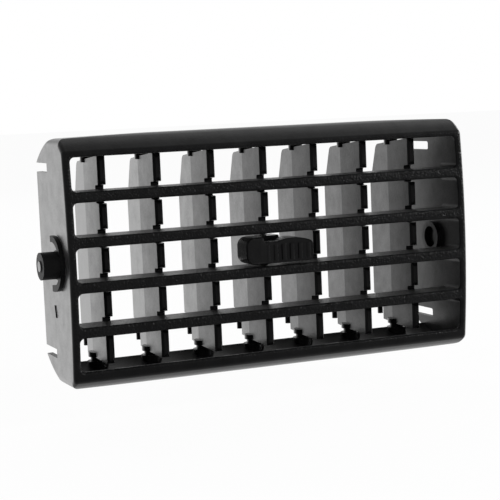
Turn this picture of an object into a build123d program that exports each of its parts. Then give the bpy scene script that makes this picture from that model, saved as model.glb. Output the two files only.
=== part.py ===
from build123d import *
import math
import os

os.makedirs("parts", exist_ok=True)

# Dashboard air vent, in millimetres: X across it, Y from its face to its rear, Z up.
# The origin is at the middle of its size; the vent's face looks along -Y.

# Louvre frame: the one moulding that holds everything
half_width = 80.0
end_wall = 2.8
end_round = 1.5
face_y = -21.7
face_radius = 380.0
frame_depth = 38.3
shell_depth = 30.4
trunnion_depth = 10.7
body_radius = 45.0
shell_wall = 1.6
rear_corner = 2.0
crown_drop = 0.8
crown_rise = 0.3
crown_corner = 3.0

# Brow and chin: the rounded border above the top row and below the bottom row
lip_rise = 7.32
brow_rise = 1.65
chin_rise = 3.35
brow_bulge = 0.55
chin_bulge = 0.75
crest_round = 9.0
brow_round = 2.5
lip_depth = 3.4
lip_wall = 1.2

# Bars and the five window rows between them
row_count = 5
bar_height = 3.8
bar_depth = 13.0
window_corner = 1.8
nose_radius = 1.1

# End walls: raised front band, spring slots, inner ring and moulding mark
band_step = 0.6
band_depth = 22.3
recess_depth = 10.4
recess_top = 16.2
recess_bottom = 29.4
recess_slope = 8.0
slot_depth = 23.2
slot_height = 3.3
slot_inset = 3.0
slot_corner = 0.9
ring_depth = 20.7
ring_z = -2.5
ring_radius = 6.0
ring_bore = 4.2
ring_height = 1.8
mark_depth = 21.8
mark_z = -20.3
mark_width = 2.3
mark_rise = 4.5
mark_height = 0.4

# Trunnions: the left stub carries a bush, the right one runs bare
left_radius = 2.3
left_length = 8.0
right_radius = 3.0
right_length = 4.0
root_radius = 4.2
root_length = 0.8
stub_chamfer = 0.4

# Upright vanes
vane_count = 7
vane_margin = 14.2
vane_setback = 11.3
vane_chord = 33.7
pivot_depth = 28.0
nose_half = 1.5
nose_flat = 0.7
nose_bevel = 0.9
waist_half = 1.7
tail_half = 0.6
tooth_height = 9.3
tooth_corner = 1.8
comb_depth = 4.0
comb_corner = 0.8
vane_gap = 0.8
shoulder_arm = 10.6
shoulder_drop = 2.7
shoulder_round = 3.0
slant_drop = 18.8
heel_arm = 8.6
heel_drop = 1.3
ledge_drop = 11.1

# Vane pivots: hub, neck and pin, and the pads in the frame that carry them
pad_rise = 1.4
pad_radius = 3.9
hub_radius = 3.5
hub_height = 1.8
neck_radius = 2.7
neck_length = 1.6
top_play = 0.2
pin_radius = 1.5
pin_length = 2.0
pin_clearance = 0.06

# Link bar behind the vanes, on a pin of each vane
link_arm = 13.3
link_width = 5.0
link_thickness = 2.2
link_play = 1.1
link_margin = 3.5
link_pin_radius = 1.1
link_clearance = 0.07
link_pin_tail = 4.8
bead_radius = 1.4
bead_length = 1.3

# Thumb knob, clipped over the middle tooth of the middle vane
knob_reach = 1.6
knob_depth = 10.0
knob_half = 13.4
knob_gap = 1.0
lobe_gap = 1.1
lobe_inner = -6.8
lobe_slope = 0.8
lobe_corner = 3.2
saddle_drop = 1.9
saddle_end = -0.6
saddle_corner = 0.5
dome_drop = 1.0
dome_fall = 1.7
dome_corner = 1.8
knob_round = 1.6
rib_count = 6
rib_pitch = 3.3
rib_first = -5.2
rib_radius = 0.95
rib_margin = 1.1
rib_height = 1.1
grip_radius = 60.0
stem_half = 3.5
stem_gap = 1.5
stem_length = 6.6
clip_play = 0.07

# Bush on the left stub with its curved spring arm
bush_radius = 4.9
bush_length = 7.6
bush_clearance = 0.06
collar_radius = 5.3
arm_radius = 8.9
arm_width = 2.2
arm_thickness = 1.6
arm_depth = 15.7
arm_sweep = 90.0
hook_length = 2.0

# Places that follow from the sizes above
middle_x = (left_length - right_length) / 2
inner_half = half_width - end_wall
left_x = middle_x - half_width
right_x = middle_x + half_width
rear_y = face_y + frame_depth
shell_y = face_y + shell_depth
trunnion_y = face_y + trunnion_depth
bar_rear_y = face_y + bar_depth
inner_radius = body_radius - shell_wall
row_edge = body_radius - lip_rise
row_pitch = (2 * row_edge + bar_height) / row_count
window_height = row_pitch - bar_height
pivot_y = face_y + pivot_depth
vane_pitch = 2 * (inner_half - vane_margin) / (vane_count - 1)
vane_xs = [middle_x + (i - (vane_count - 1) / 2) * vane_pitch for i in range(vane_count)]
row_zs = [(i - (row_count - 1) / 2) * row_pitch for i in range(row_count)]
bar_zs = [(i - (row_count - 2) / 2) * row_pitch for i in range(row_count - 1)]


def face_at(z):
    return face_y + face_radius - math.sqrt(face_radius**2 - z**2)


def wall_z(radius, y):
    return math.sqrt(radius**2 - (y - trunnion_y) ** 2)


def bulged(start, end, bulge):
    chord = Vector(*end) - Vector(*start)
    outward = Vector(chord.Y, -chord.X).normalized()
    return (Vector(*start) + Vector(*end)) / 2 + outward * bulge


pad_z = wall_z(inner_radius, pivot_y) - pad_rise

# Side outline: shallow curved face, rounded brow and chin, walls curved round the trunnion axis
with BuildSketch(Plane.YZ.offset(left_x)) as side_outline:
    with BuildLine():
        face_top = row_edge + brow_rise
        face_bottom = -row_edge - chin_rise
        brow = (face_at(face_top), face_top)
        chin = (face_at(face_bottom), face_bottom)
        crest = (trunnion_y, body_radius)
        keel = (trunnion_y, -body_radius)
        mid_y = (trunnion_y + rear_y) / 2
        rear_top = (rear_y, wall_z(body_radius, rear_y))
        rear_bottom = (rear_y, -wall_z(body_radius, rear_y))
        ThreePointArc(chin, (face_y, 0), brow)
        ThreePointArc(brow, bulged(crest, brow, brow_bulge), crest)
        ThreePointArc(crest, (mid_y, wall_z(body_radius, mid_y)), rear_top)
        Line(rear_top, rear_bottom)
        ThreePointArc(rear_bottom, (mid_y, -wall_z(body_radius, mid_y)), keel)
        ThreePointArc(keel, bulged(chin, keel, chin_bulge), chin)
    make_face()
    # the sketch's own X runs along Y and its own Y runs along Z
    fillet(side_outline.vertices().group_by(Axis.X)[-1], radius=rear_corner)
    fillet(side_outline.vertices().sort_by(Axis.Y)[0], radius=crest_round)
    fillet(side_outline.vertices().sort_by(Axis.Y)[-1], radius=crest_round)
    front_corners = [v for v in side_outline.vertices() if v.X < face_at(face_bottom) + brow_bulge]
    fillet(front_corners, radius=brow_round)

# Round pads on the floor and ceiling, trimmed to the frame's outside
with BuildPart() as pivot_pads:
    for level in (-body_radius, pad_z):
        with BuildSketch(Plane.XY.offset(level)):
            for x in vane_xs:
                with Locations((x, pivot_y)):
                    Circle(pad_radius)
        extrude(amount=body_radius - pad_z)
    extrude(side_outline.sketch, amount=2 * half_width, mode=Mode.INTERSECT)

with BuildPart() as louvre_frame:
    extrude(side_outline.sketch, amount=2 * half_width)
    # rounded outside edges, from the face round to the walls
    rim = [e for face in (louvre_frame.faces().sort_by(Axis.X)[0], louvre_frame.faces().sort_by(Axis.X)[-1])
           for e in face.edges() if e.bounding_box().max.Y < rear_y - rear_corner]
    fillet(rim, radius=end_round)
    # five windows with rounded corners
    with BuildSketch(Plane.XZ.offset(-bar_rear_y)):
        for z in row_zs:
            with Locations((middle_x, z)):
                RectangleRounded(2 * inner_half, window_height, window_corner)
    extrude(amount=bar_depth + lip_depth, mode=Mode.SUBTRACT)
    # softened noses of the bars and of the frame's border
    window_edges = []
    for edge in louvre_frame.edges():
        box = edge.bounding_box()
        in_front = box.max.Y < face_y + lip_depth
        inside = max(abs(box.min.X - middle_x), abs(box.max.X - middle_x)) < inner_half + nose_radius / 2
        in_rows = max(abs(box.min.Z), abs(box.max.Z)) < row_edge + bar_height / 4
        if in_front and inside and in_rows:
            window_edges.append(edge)
    fillet(window_edges, radius=nose_radius)
    # slight crown: the top and bottom drop towards the ends
    with BuildSketch(Plane.XZ.offset(-rear_y)) as crown:
        with BuildLine():
            crown_z = body_radius - crown_drop
            peak_z = body_radius + crown_rise
            ThreePointArc((left_x, crown_z), (middle_x, peak_z), (right_x, crown_z))
            Line((right_x, crown_z), (right_x, -crown_z))
            ThreePointArc((right_x, -crown_z), (middle_x, -peak_z), (left_x, -crown_z))
            Line((left_x, -crown_z), (left_x, crown_z))
        make_face()
        fillet(crown.vertices(), radius=crown_corner)
    extrude(amount=frame_depth, mode=Mode.INTERSECT)
    # hollow behind the bars; the floor and ceiling end short of the end walls
    with BuildSketch(Plane.YZ.offset(middle_x - inner_half)):
        with BuildLine():
            open_y = rear_y + shell_wall
            open_z = body_radius + shell_wall
            shell_z = wall_z(inner_radius, shell_y)
            front_z = wall_z(inner_radius, bar_rear_y)
            bend_y = (bar_rear_y + shell_y) / 2
            bend_z = wall_z(inner_radius, bend_y)
            Line((bar_rear_y, -front_z), (bar_rear_y, front_z))
            ThreePointArc((bar_rear_y, front_z), (bend_y, bend_z), (shell_y, shell_z))
            Polyline((shell_y, shell_z), (shell_y, open_z), (open_y, open_z), (open_y, -open_z),
                     (shell_y, -open_z), (shell_y, -shell_z))
            ThreePointArc((shell_y, -shell_z), (bend_y, -bend_z), (bar_rear_y, -front_z))
        make_face()
    extrude(amount=2 * inner_half, mode=Mode.SUBTRACT)
    # hollow above the top row and below the bottom row, behind the lips
    with BuildSketch(Plane.YZ.offset(middle_x - inner_half)):
        lip_y = face_y + lip_depth
        low = row_edge - window_corner
        for sign, lip_z in ((1, face_top - lip_wall), (-1, -face_bottom - shell_wall)):
            with BuildLine():
                Polyline((lip_y, sign * low), (lip_y, sign * lip_z), (trunnion_y, sign * (inner_radius - lip_wall / 2)),
                         (bar_rear_y, sign * front_z), (bar_rear_y, sign * low), close=True)
            make_face()
    extrude(amount=2 * inner_half, mode=Mode.SUBTRACT)
    # bearing pads and through holes for the vane pins
    add(pivot_pads.part)
    with BuildSketch(Plane.XY.offset(-body_radius)):
        for x in vane_xs:
            with Locations((x, pivot_y)):
                Circle(pin_radius + pin_clearance)
    extrude(amount=2 * body_radius, mode=Mode.SUBTRACT)
    for wall_x, out, stub_radius, stub_length in (
        (left_x, -1, left_radius, left_length),
        (right_x, 1, right_radius, right_length),
    ):
        # the end wall steps in behind the front band and round the trunnion
        with BuildSketch(Plane.YZ.offset(wall_x)):
            with BuildLine():
                band_y = face_y + band_depth
                recess_y = face_y + recess_depth
                outside = body_radius + shell_wall
                Polyline((band_y, outside), (band_y, recess_top), (recess_y, recess_top - recess_slope),
                         (recess_y, recess_slope - recess_bottom), (band_y, -recess_bottom), (band_y, -outside),
                         (open_y, -outside), (open_y, outside), close=True)
            make_face()
        extrude(amount=-out * band_step, mode=Mode.SUBTRACT)
        # slots that let the top and bottom walls spring apart
        with BuildSketch(Plane.YZ.offset(wall_x)) as slots:
            slot_y = face_y + slot_depth
            for sign in (-1, 1):
                slot_z = sign * (pad_z - slot_inset - slot_height / 2)
                with Locations(((slot_y + open_y) / 2, slot_z)):
                    Rectangle(open_y - slot_y, slot_height)
            fillet(slots.vertices().group_by(Axis.X)[0], radius=slot_corner)
        extrude(amount=-out * end_wall, mode=Mode.SUBTRACT)
        # trunnion stub
        with BuildSketch(Plane.YZ.offset(wall_x - out * end_wall)):
            with Locations((trunnion_y, 0)):
                Circle(stub_radius)
        extrude(amount=out * (end_wall + stub_length))
        # raised ring on the inside of the end wall
        with BuildSketch(Plane.YZ.offset(wall_x - out * end_wall)):
            with Locations((face_y + ring_depth, ring_z)):
                Circle(ring_radius)
                Circle(ring_bore, mode=Mode.SUBTRACT)
        extrude(amount=-out * ring_height)
        # small raised moulding mark
        with BuildSketch(Plane.YZ.offset(wall_x - out * band_step)):
            with BuildLine():
                mark_y = face_y + mark_depth
                Polyline((mark_y, mark_z), (mark_y + mark_width, mark_z),
                         (mark_y + mark_width / 2, mark_z + mark_rise), close=True)
            make_face()
        extrude(amount=out * mark_height)
    # collar at the root of the bare stub
    with BuildSketch(Plane.YZ.offset(right_x - end_wall)):
        with Locations((trunnion_y, 0)):
            Circle(root_radius)
    extrude(amount=end_wall + root_length)
    for stub_end in (louvre_frame.faces().sort_by(Axis.X)[0], louvre_frame.faces().sort_by(Axis.X)[-1]):
        chamfer(stub_end.edges(), length=stub_chamfer)
louvre_frame.part.label = "louvre_frame"
export_step(louvre_frame.part, "parts/louvre_frame.step")

# Seven upright vanes: a comb of teeth between the bars, a thin tail, a hub and pins
vane_front_y = face_y + vane_setback
vane_rear_y = vane_front_y + vane_chord
vane_top = pad_z - vane_gap
ledge_z = ledge_drop - vane_top
link_y = pivot_y + link_arm
link_top = ledge_z - link_play
link_bottom = link_top - link_thickness
hub_bottom = neck_length - pad_z
for number, x in enumerate(vane_xs, start=1):
    with BuildPart() as vane:
        with BuildSketch(Plane.XY.offset(-body_radius)):
            with BuildLine():
                bevel_y = vane_front_y + nose_bevel
                Polyline((x - nose_flat, vane_front_y), (x + nose_flat, vane_front_y), (x + nose_half, bevel_y),
                         (x + waist_half, pivot_y), (x + tail_half, vane_rear_y), (x - tail_half, vane_rear_y),
                         (x - waist_half, pivot_y), (x - nose_half, bevel_y), close=True)
            make_face()
        extrude(amount=2 * body_radius)
        with BuildSketch(Plane.YZ.offset(x - waist_half)) as comb:
            with BuildLine():
                Polyline((vane_front_y, -vane_top), (vane_front_y, vane_top),
                         (pivot_y + shoulder_arm, vane_top - shoulder_drop), (vane_rear_y, vane_top - slant_drop),
                         (vane_rear_y, ledge_z), (pivot_y + heel_arm, ledge_z),
                         (pivot_y + heel_arm, heel_drop - vane_top), close=True)
            make_face()
            for z in bar_zs:
                with Locations((vane_front_y, z)):
                    Rectangle(2 * comb_depth, row_pitch - tooth_height, mode=Mode.SUBTRACT)
            fillet(comb.vertices().group_by(Axis.X)[0], radius=tooth_corner)
            in_comb = [v for v in comb.vertices() if abs(v.X - vane_front_y - comb_depth) < comb_corner / 2]
            fillet(in_comb, radius=comb_corner)
            shoulder = [v for v in comb.vertices() if v.X > pivot_y and v.Y > vane_top - 2 * shoulder_drop]
            fillet(shoulder, radius=shoulder_round)
        extrude(amount=2 * waist_half, mode=Mode.INTERSECT)
        for radius, start, end in (
            (hub_radius, hub_bottom, hub_bottom + hub_height),
            (neck_radius, -pad_z, hub_bottom),
            (neck_radius, vane_top - shoulder_drop, pad_z - top_play),
            (pin_radius, -pad_z - pin_length, -pad_z),
            (pin_radius, pad_z - top_play, pad_z + pin_length),
        ):
            with BuildSketch(Plane.XY.offset(start)):
                with Locations((x, pivot_y)):
                    Circle(radius)
            extrude(amount=end - start)
        for radius, start, end in (
            (link_pin_radius, link_bottom - link_pin_tail, ledge_z),
            (bead_radius, link_bottom - bead_length, link_bottom),
        ):
            with BuildSketch(Plane.XY.offset(start)):
                with Locations((x, link_y)):
                    Circle(radius)
            extrude(amount=end - start)
    vane.part.label = f"vane_{number}"
    export_step(vane.part, f"parts/vane_{number}.step")

# Link bar that ties the vanes together
with BuildPart() as link_bar:
    with BuildSketch(Plane.XY.offset(link_bottom)):
        with Locations((middle_x, link_y)):
            SlotOverall(vane_xs[-1] - vane_xs[0] + 2 * link_margin, link_width)
        for x in vane_xs:
            with Locations((x, link_y)):
                Circle(link_pin_radius + link_clearance, mode=Mode.SUBTRACT)
    extrude(amount=link_thickness)
link_bar.part.label = "vane_link_bar"
export_step(link_bar.part, "parts/vane_link_bar.step")

# Thumb knob: smooth lobe, saddle and ribbed dome, with a forked stem at the rear
with BuildPart() as thumb_knob:
    knob_front_y = face_y - knob_reach
    knob_rear_y = knob_front_y + knob_depth
    knob_bottom = knob_gap - window_height / 2
    lobe_top = window_height / 2 - lobe_gap
    saddle_top = lobe_top - saddle_drop
    dome_top = lobe_top - dome_drop
    dome_end = dome_top - dome_fall
    stem_height = window_height - 2 * stem_gap
    with BuildSketch(Plane((middle_x, knob_rear_y, 0), x_dir=(1, 0, 0), z_dir=(0, -1, 0))) as knob_outline:
        with BuildLine():
            dome_mid = (saddle_end + knob_half) / 2
            Polyline((knob_half, dome_end), (knob_half, knob_bottom), (-knob_half, knob_bottom),
                     (-knob_half, lobe_top), (lobe_inner, lobe_top), (lobe_inner + lobe_slope, saddle_top),
                     (saddle_end, saddle_top))
            ThreePointArc((saddle_end, saddle_top), (dome_mid, dome_top), (knob_half, dome_end))
        make_face()
        fillet(knob_outline.vertices().group_by(Axis.X)[0], radius=lobe_corner)
        fillet(knob_outline.vertices().group_by(Axis.X)[-1], radius=dome_corner)
        saddle = [v for v in knob_outline.vertices() if lobe_inner - lobe_slope / 2 < v.X < saddle_end - lobe_slope]
        fillet(saddle, radius=saddle_corner)
    extrude(amount=knob_depth)
    fillet(thumb_knob.faces().sort_by(Axis.Y)[0].edges(), radius=knob_round)
    # shallow hollow across the ribbed part of the front
    with BuildSketch(Plane.XY.offset(-2 * lobe_top)):
        grip_x = middle_x + (lobe_inner + knob_half) / 2
        with Locations((grip_x, knob_front_y + rib_height - grip_radius)):
            Circle(grip_radius)
    extrude(amount=4 * lobe_top, mode=Mode.SUBTRACT)
    # upright round ribs
    with BuildSketch(Plane.XY.offset(knob_bottom + rib_margin)):
        for i in range(rib_count):
            with Locations((middle_x + rib_first + i * rib_pitch, knob_front_y + rib_height / 8 + rib_radius)):
                Circle(rib_radius)
    extrude(amount=saddle_top - knob_bottom - 2 * rib_margin)
    # stem that reaches back between the bars, forked over the vane's tooth
    stem_rear_y = knob_rear_y + stem_length
    with BuildSketch(Plane.XZ.offset(-stem_rear_y)):
        with Locations((middle_x, 0)):
            Rectangle(2 * stem_half, stem_height)
    extrude(amount=stem_length)
    with BuildSketch(Plane.XY.offset(-stem_height)):
        with Locations((middle_x, (vane_front_y + stem_rear_y) / 2)):
            Rectangle(2 * (nose_half + clip_play), stem_rear_y - vane_front_y + 2 * clip_play)
    extrude(amount=2 * stem_height, mode=Mode.SUBTRACT)
thumb_knob.part.label = "thumb_knob"
export_step(thumb_knob.part, "parts/thumb_knob.step")

# Trunnion bush: a round bush moulded in one with its curved spring arm
with BuildPart() as bush:
    with BuildSketch(Plane.YZ.offset(left_x)):
        with Locations((trunnion_y, 0)):
            Circle(bush_radius)
    extrude(amount=-bush_length)
    with BuildSketch(Plane.YZ.offset(left_x)):
        with BuildLine() as arm_line:
            arm = CenterArc((face_y + arm_depth, 0), arm_radius, 180 - arm_sweep, 2 * arm_sweep)
            Line(arm @ 0, (arm @ 0) + (arm % 0) * -hook_length)
            Line(arm @ 1, (arm @ 1) + (arm % 1) * hook_length)
        trace(arm_line.line, line_width=arm_width)
        with Locations((trunnion_y, 0)):
            Circle(collar_radius)
    extrude(amount=-arm_thickness)
    with BuildSketch(Plane.YZ.offset(left_x)):
        with Locations((trunnion_y, 0)):
            Circle(left_radius + bush_clearance)
    extrude(amount=-bush_length, mode=Mode.SUBTRACT)
bush.part.label = "trunnion_bush"
export_step(bush.part, "parts/trunnion_bush.step")
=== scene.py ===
import math

import bpy
from mathutils import Euler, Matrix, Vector


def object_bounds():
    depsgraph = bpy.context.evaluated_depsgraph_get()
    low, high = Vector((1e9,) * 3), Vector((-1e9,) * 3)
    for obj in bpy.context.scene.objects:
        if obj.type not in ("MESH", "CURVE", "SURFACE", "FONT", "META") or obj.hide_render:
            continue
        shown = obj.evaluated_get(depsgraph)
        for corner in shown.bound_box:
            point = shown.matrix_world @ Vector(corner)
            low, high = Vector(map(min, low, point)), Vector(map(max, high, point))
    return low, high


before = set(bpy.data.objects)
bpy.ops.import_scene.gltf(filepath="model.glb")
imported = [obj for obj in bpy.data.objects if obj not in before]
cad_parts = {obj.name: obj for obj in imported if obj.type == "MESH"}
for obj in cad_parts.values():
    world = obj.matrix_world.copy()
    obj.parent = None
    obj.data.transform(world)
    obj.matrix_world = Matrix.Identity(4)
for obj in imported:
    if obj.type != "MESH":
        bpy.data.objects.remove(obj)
cad_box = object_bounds()


# Camera: stands to the left of the vent and a little above it, about half a metre away.
# The long lens keeps the bars nearly parallel.
CAMERA_PLACE = (-0.2206, -0.5115, 0.0552)
CAMERA_TURN = (84.15, 2.451, -23.521)
CAMERA_LENS = 106.08
FILM_WIDTH = 36.0
NEAREST_SEEN = 0.01

camera_data = bpy.data.cameras.new("camera")
camera_data.lens = CAMERA_LENS
camera_data.sensor_width = FILM_WIDTH
camera_data.clip_start = NEAREST_SEEN
camera = bpy.data.objects.new("camera", camera_data)
camera.location = CAMERA_PLACE
camera.rotation_euler = Euler([math.radians(a) for a in CAMERA_TURN], "XYZ")
bpy.context.scene.collection.objects.link(camera)
bpy.context.scene.camera = camera
bpy.context.scene.view_settings.view_transform = "Standard"


# Studio: a white floor well under the vent, in a room that camera and gloss see as plain white.
# The light on the vent comes from white paper behind it, with a black screen in front of it.
# Wide lamps lift the front and the floor to a plain level, and two small ones give the sparkle.
WHITE = (1.0, 1.0, 1.0, 1.0)
WHITE_STRENGTH = 1.0
FLOOR_COLOUR = (0.9, 0.9, 0.9, 1.0)
FLOOR_DROP = 0.012
FLOOR_HALF = 6.0
FLOOR_SHARE = 0.96
ROOM_SHARE = 1.0
ROOM_AIM = (0.42, 0.91, 0.0)
ROOM_BACK = 1.4
ROOM_FRONT = 0.02
ROOM_DARK_TO = 0.2
ROOM_BRIGHT_FROM = 1.0
LAMPS = {
    "wide_left": {"place": (-1.0, -0.4, 0.3), "size": 0.8, "power": 6.0, "in_gloss": False},
    "wide_front": {"place": (0.2, -1.1, 0.4), "size": 0.8, "power": 3.2, "in_gloss": False},
    "wide_back": {"place": (-0.1, 1.1, 0.7), "size": 0.8, "power": 4.5, "in_gloss": False},
    "small_back": {"place": (0.85, 0.3, 0.55), "size": 0.18, "power": 1.0, "in_gloss": True},
    "small_right": {"place": (0.82, -0.45, 0.34), "size": 0.22, "power": 6.5, "in_gloss": True},
}


def empty_tree(owner):
    """Turns on the nodes of a material or world and clears them."""
    owner.use_nodes = True
    owner.node_tree.nodes.clear()
    return owner.node_tree.nodes, owner.node_tree.links


def math_node(nodes, operation, second=None, third=None):
    """A math node; its second and third inputs may be plain numbers."""
    node = nodes.new("ShaderNodeMath")
    node.operation = operation
    for slot, number in ((1, second), (2, third)):
        if number is not None:
            node.inputs[slot].default_value = number
    return node


def range_node(nodes, start, end, low=0.0, high=1.0, smooth=False):
    """A map range node that takes start..end to low..high."""
    node = nodes.new("ShaderNodeMapRange")
    if smooth:
        node.interpolation_type = "SMOOTHSTEP"
    node.inputs["From Min"].default_value = start
    node.inputs["From Max"].default_value = end
    node.inputs["To Min"].default_value = low
    node.inputs["To Max"].default_value = high
    return node


def white_light(nodes, kind):
    """An emission or background node at plain white."""
    light = nodes.new(kind)
    light.inputs["Color"].default_value = WHITE
    light.inputs["Strength"].default_value = WHITE_STRENGTH
    return light


def plain_view(nodes, links, most):
    """How far a ray sees plain white: camera, gloss and glass do, the light on the vent doesn't."""
    ray = nodes.new("ShaderNodeLightPath")
    direct = math_node(nodes, "ADD")
    seen = math_node(nodes, "ADD")
    direct.use_clamp = seen.use_clamp = True
    share = math_node(nodes, "MULTIPLY", most)
    links.new(ray.outputs["Is Camera Ray"], direct.inputs[0])
    links.new(ray.outputs["Is Glossy Ray"], direct.inputs[1])
    links.new(direct.outputs[0], seen.inputs[0])
    links.new(ray.outputs["Is Transmission Ray"], seen.inputs[1])
    links.new(seen.outputs[0], share.inputs[0])
    return share.outputs[0]


floor_level = cad_box[0][2] - FLOOR_DROP
floor_corners = [(x * FLOOR_HALF, y * FLOOR_HALF, floor_level)
                 for x, y in ((-1, -1), (1, -1), (1, 1), (-1, 1))]
floor_mesh = bpy.data.meshes.new("floor")
floor_mesh.from_pydata(floor_corners, [], [(0, 1, 2, 3)])
floor = bpy.data.objects.new("floor", floor_mesh)
bpy.context.scene.collection.objects.link(floor)
floor_paint = bpy.data.materials.new("white_floor")
nodes, links = empty_tree(floor_paint)
floor_out = nodes.new("ShaderNodeOutputMaterial")
floor_matt = nodes.new("ShaderNodeBsdfDiffuse")
floor_matt.inputs["Color"].default_value = FLOOR_COLOUR
floor_white = white_light(nodes, "ShaderNodeEmission")
floor_mix = nodes.new("ShaderNodeMixShader")
links.new(plain_view(nodes, links, FLOOR_SHARE), floor_mix.inputs["Fac"])
links.new(floor_matt.outputs[0], floor_mix.inputs[1])
links.new(floor_white.outputs[0], floor_mix.inputs[2])
links.new(floor_mix.outputs[0], floor_out.inputs["Surface"])
floor_mesh.materials.append(floor_paint)

room = bpy.data.worlds.new("white_room")
bpy.context.scene.world = room
nodes, links = empty_tree(room)
room_out = nodes.new("ShaderNodeOutputWorld")
room_light = white_light(nodes, "ShaderNodeBackground")
room_seen = white_light(nodes, "ShaderNodeBackground")
room_way = nodes.new("ShaderNodeTexCoord")
room_aim = nodes.new("ShaderNodeVectorMath")
room_aim.operation = "DOT_PRODUCT"
room_aim.inputs[1].default_value = ROOM_AIM
room_depth = range_node(nodes, ROOM_DARK_TO, ROOM_BRIGHT_FROM, ROOM_FRONT, ROOM_BACK, smooth=True)
room_mix = nodes.new("ShaderNodeMixShader")
links.new(room_way.outputs["Generated"], room_aim.inputs[0])
links.new(room_aim.outputs["Value"], room_depth.inputs["Value"])
links.new(room_depth.outputs["Result"], room_light.inputs["Strength"])
links.new(plain_view(nodes, links, ROOM_SHARE), room_mix.inputs["Fac"])
links.new(room_light.outputs[0], room_mix.inputs[1])
links.new(room_seen.outputs[0], room_mix.inputs[2])
links.new(room_mix.outputs[0], room_out.inputs["Surface"])

for name, lamp in LAMPS.items():
    data = bpy.data.lights.new(name, "AREA")
    data.size = lamp["size"]
    data.energy = lamp["power"]
    lamp_object = bpy.data.objects.new(name, data)
    lamp_object.location = lamp["place"]
    lamp_object.visible_glossy = lamp["in_gloss"]
    aim = Vector((0.0, 0.0, 0.0)) - Vector(lamp["place"])
    lamp_object.rotation_euler = aim.to_track_quat("-Z", "Y").to_euler()
    bpy.context.scene.collection.objects.link(lamp_object)


# Louvre frame: the one black moulding with the bars, walls, slots and trunnion stubs.
# Injection-moulded plastic with a spark-eroded grain, which is coarse and dull on the bars,
# faint on the walls. At a grazing view a thin sheen shows on the smooth parts.
FRAME_BLACK = (0.0052, 0.0052, 0.0054)
FRAME_ROUGH = 0.33
FRAME_GRAIN = 0.00078
FRAME_GRAIN_DEPTH = 0.00024
FRAME_HAZE = 1.35
LOW_SHINE = 0.05
HAZE_FALLOFF = 4.0
HAZE_MOST = 0.43
HAZE_UNEVEN = (0.76, 1.22)
CLOUD_RANGE = (0.5, 1.1)
CLOUD_SHARE = 0.6
SKIN_COLOUR = (0.9, 0.9, 0.9, 1.0)
SKIN_ROUGH = 0.32
NOISE_PER_GRAIN = 1.2
NOISE_DETAIL = 2.0
FLOW_SCALE = 190.0
FLOW_DETAIL = 5.0
FLOW_RANGE = (0.3, 0.7)
BUMP_STRENGTH = 0.8
STREAK = 0.25
STREAK_STOPS = (0.3, 0.72)
ROUGH_LESS = 0.05
ROUGH_MORE = 0.07


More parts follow.
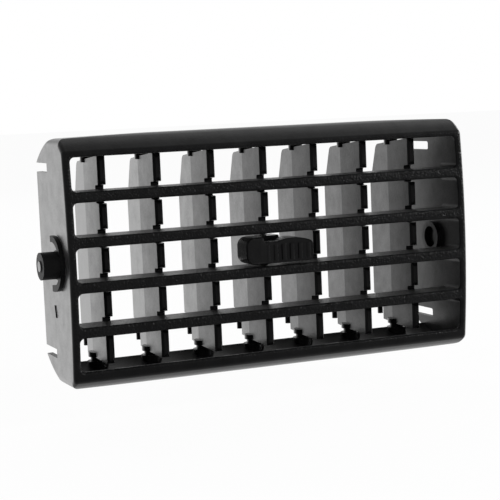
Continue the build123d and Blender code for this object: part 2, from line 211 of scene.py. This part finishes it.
def moulded_plastic(name, colour, roughness, grain, grain_depth, haze, shine):
    """Moulded plastic: mottled colour, fine grain bump, uneven gloss and a haze at grazing view."""
    plastic = bpy.data.materials.new(name)
    nodes, links = empty_tree(plastic)
    out = nodes.new("ShaderNodeOutputMaterial")
    shader = nodes.new("ShaderNodeBsdfPrincipled")
    shader.inputs["Specular IOR Level"].default_value = shine
    grazing = nodes.new("ShaderNodeLayerWeight")
    grazing.inputs["Blend"].default_value = 0.5
    falloff = math_node(nodes, "POWER", HAZE_FALLOFF)
    cloud = math_node(nodes, "MULTIPLY_ADD", CLOUD_SHARE)
    uneven = range_node(nodes, *CLOUD_RANGE, *[u * haze for u in HAZE_UNEVEN])
    share = math_node(nodes, "MULTIPLY")
    share.name = "haze_share"
    most = math_node(nodes, "MINIMUM", HAZE_MOST)
    skin = nodes.new("ShaderNodeBsdfGlossy")
    skin.inputs["Color"].default_value = SKIN_COLOUR
    skin.inputs["Roughness"].default_value = SKIN_ROUGH
    finish = nodes.new("ShaderNodeMixShader")
    place = nodes.new("ShaderNodeTexCoord")
    pebbles = nodes.new("ShaderNodeTexVoronoi")
    pebbles.inputs["Scale"].default_value = 1.0 / grain
    fine = nodes.new("ShaderNodeTexNoise")
    fine.inputs["Scale"].default_value = NOISE_PER_GRAIN / grain
    fine.inputs["Detail"].default_value = NOISE_DETAIL
    flow = nodes.new("ShaderNodeTexNoise")
    flow.inputs["Scale"].default_value = FLOW_SCALE
    flow.inputs["Detail"].default_value = FLOW_DETAIL
    height = math_node(nodes, "ADD")
    bump = nodes.new("ShaderNodeBump")
    bump.name = "grain_bump"
    bump.inputs["Strength"].default_value = BUMP_STRENGTH
    bump.inputs["Distance"].default_value = grain_depth
    tint = nodes.new("ShaderNodeValToRGB")
    levels = (1.0 - STREAK, 1.0 + STREAK)
    for stop, position, level in zip(tint.color_ramp.elements, STREAK_STOPS, levels):
        stop.position = position
        stop.color = (*[c * level for c in colour], 1.0)
    gloss = range_node(nodes, *FLOW_RANGE, roughness - ROUGH_LESS, roughness + ROUGH_MORE)
    for texture in (pebbles, fine, flow):
        links.new(place.outputs["Object"], texture.inputs["Vector"])
    links.new(pebbles.outputs["Distance"], height.inputs[0])
    links.new(fine.outputs["Fac"], height.inputs[1])
    links.new(height.outputs[0], bump.inputs["Height"])
    links.new(flow.outputs["Fac"], tint.inputs["Fac"])
    links.new(flow.outputs["Fac"], gloss.inputs["Value"])
    links.new(tint.outputs["Color"], shader.inputs["Base Color"])
    links.new(gloss.outputs["Result"], shader.inputs["Roughness"])
    links.new(bump.outputs["Normal"], shader.inputs["Normal"])
    links.new(bump.outputs["Normal"], skin.inputs["Normal"])
    links.new(grazing.outputs["Facing"], falloff.inputs[0])
    links.new(fine.outputs["Fac"], cloud.inputs[0])
    links.new(flow.outputs["Fac"], cloud.inputs[2])
    links.new(cloud.outputs[0], uneven.inputs["Value"])
    links.new(falloff.outputs[0], share.inputs[0])
    links.new(uneven.outputs["Result"], share.inputs[1])
    links.new(share.outputs[0], most.inputs[0])
    links.new(most.outputs[0], finish.inputs["Fac"])
    links.new(shader.outputs[0], finish.inputs[1])
    links.new(skin.outputs[0], finish.inputs[2])
    links.new(finish.outputs[0], out.inputs["Surface"])
    return plastic


def dress(node, material):
    """Gives a CAD node's mesh one finish."""
    node.data.materials.clear()
    node.data.materials.append(material)


# Where the frame is coarse: up to this height from the middle, on surfaces that face front or up.
BAR_ZONE = 0.037
BAR_HAZE_KEPT = 0.1
BROW_SHARE = 0.75
FACING_UP = (0.2, 0.7)
FACING_SIDEWAYS = (0.7, 0.4)
GRAIN_ENDS = 0.0025
GRAIN_FADES = 0.0005
WALL_GRAIN = 0.12
BAR_GRAIN = 0.9


def coarsen_bars(material):
    """The bars are eroded coarser than the walls: full grain, and only part of the haze kept.

    The brow and the chin lose BROW_SHARE of what the bars lose.
    """
    nodes, links = material.node_tree.nodes, material.node_tree.links
    share = nodes["haze_share"]
    haze_in = share.inputs[1].links[0].from_socket
    surface = nodes.new("ShaderNodeTexCoord")
    facing = nodes.new("ShaderNodeSeparateXYZ")
    place = nodes.new("ShaderNodeSeparateXYZ")
    upright = math_node(nodes, "ABSOLUTE")
    level = math_node(nodes, "ABSOLUTE")
    sideways = math_node(nodes, "ABSOLUTE")
    flat = range_node(nodes, *FACING_UP, smooth=True)
    in_zone = math_node(nodes, "LESS_THAN", BAR_ZONE)
    reach = math_node(nodes, "MULTIPLY_ADD", 1.0 - BROW_SHARE, BROW_SHARE)
    on_bar = math_node(nodes, "MULTIPLY")
    keep = range_node(nodes, 0.0, 1.0, 1.0, BAR_HAZE_KEPT)
    dulled = math_node(nodes, "MULTIPLY")
    not_wall = range_node(nodes, *FACING_SIDEWAYS)
    grained = range_node(nodes, BAR_ZONE + GRAIN_ENDS, BAR_ZONE + GRAIN_FADES)
    grain_here = math_node(nodes, "MULTIPLY")
    grain_strength = range_node(nodes, 0.0, 1.0, WALL_GRAIN, BAR_GRAIN)
    links.new(surface.outputs["Normal"], facing.inputs[0])
    links.new(surface.outputs["Object"], place.inputs[0])
    links.new(facing.outputs["Z"], upright.inputs[0])
    links.new(place.outputs["Z"], level.inputs[0])
    links.new(upright.outputs[0], flat.inputs["Value"])
    links.new(level.outputs[0], in_zone.inputs[0])
    links.new(flat.outputs["Result"], on_bar.inputs[0])
    links.new(in_zone.outputs[0], reach.inputs[0])
    links.new(reach.outputs[0], on_bar.inputs[1])
    links.new(on_bar.outputs[0], keep.inputs["Value"])
    links.new(haze_in, dulled.inputs[0])
    links.new(keep.outputs["Result"], dulled.inputs[1])
    links.new(dulled.outputs[0], share.inputs[1])
    links.new(facing.outputs["X"], sideways.inputs[0])
    links.new(sideways.outputs[0], not_wall.inputs["Value"])
    links.new(level.outputs[0], grained.inputs["Value"])
    links.new(not_wall.outputs["Result"], grain_here.inputs[0])
    links.new(grained.outputs["Result"], grain_here.inputs[1])
    links.new(grain_here.outputs[0], grain_strength.inputs["Value"])
    links.new(grain_strength.outputs["Result"], nodes["grain_bump"].inputs["Strength"])


frame_plastic = moulded_plastic(
    "frame_grained_plastic", colour=FRAME_BLACK, roughness=FRAME_ROUGH,
    grain=FRAME_GRAIN, grain_depth=FRAME_GRAIN_DEPTH, haze=FRAME_HAZE, shine=LOW_SHINE)
coarsen_bars(frame_plastic)
dress(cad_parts["louvre_frame"], frame_plastic)


# Upright vanes: seven thin black mouldings behind the bars, linked at the bottom rear.
# The mould was polished more than the frame's, so their sides reflect the white behind them.
VANE_BLACK = (0.006, 0.006, 0.0063)
VANE_COUNT = 7

vane_plastic = moulded_plastic(
    "vane_satin_plastic", colour=VANE_BLACK, roughness=0.36,
    grain=0.0008, grain_depth=0.00004, haze=1.4, shine=LOW_SHINE)
for number in range(1, VANE_COUNT + 1):
    dress(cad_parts[f"vane_{number}"], vane_plastic)


# Link bar: a thin black strip behind the fourth louvre bar, on one pin of each vane.
# Natural black, a little waxy, because it has to slide.
LINK_BLACK = (0.006, 0.006, 0.0062)

link_plastic = moulded_plastic(
    "link_waxy_plastic", colour=LINK_BLACK, roughness=0.4,
    grain=0.0006, grain_depth=0.00003, haze=0.4, shine=0.2)
dress(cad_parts["vane_link_bar"], link_plastic)


# Thumb knob: clipped over the middle vane's tooth, ribbed for the thumb.
# Nearly the same black as the frame, rubbed smoother by use.
KNOB_BLACK = (0.0045, 0.0045, 0.0047)

knob_plastic = moulded_plastic(
    "knob_worn_plastic", colour=KNOB_BLACK, roughness=0.18,
    grain=0.0006, grain_depth=0.00003, haze=0.12, shine=0.08)
dress(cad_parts["thumb_knob"], knob_plastic)


# Trunnion bush: on the left stub, with its curved spring arm.
# Slippery smooth black plastic, the darkest piece, with hardly any sheen at a grazing view.
BUSH_BLACK = (0.004, 0.004, 0.0041)

bush_plastic = moulded_plastic(
    "bush_smooth_plastic", colour=BUSH_BLACK, roughness=0.3,
    grain=0.0008, grain_depth=0.00002, haze=0.03, shine=LOW_SHINE)
dress(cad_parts["trunnion_bush"], bush_plastic)
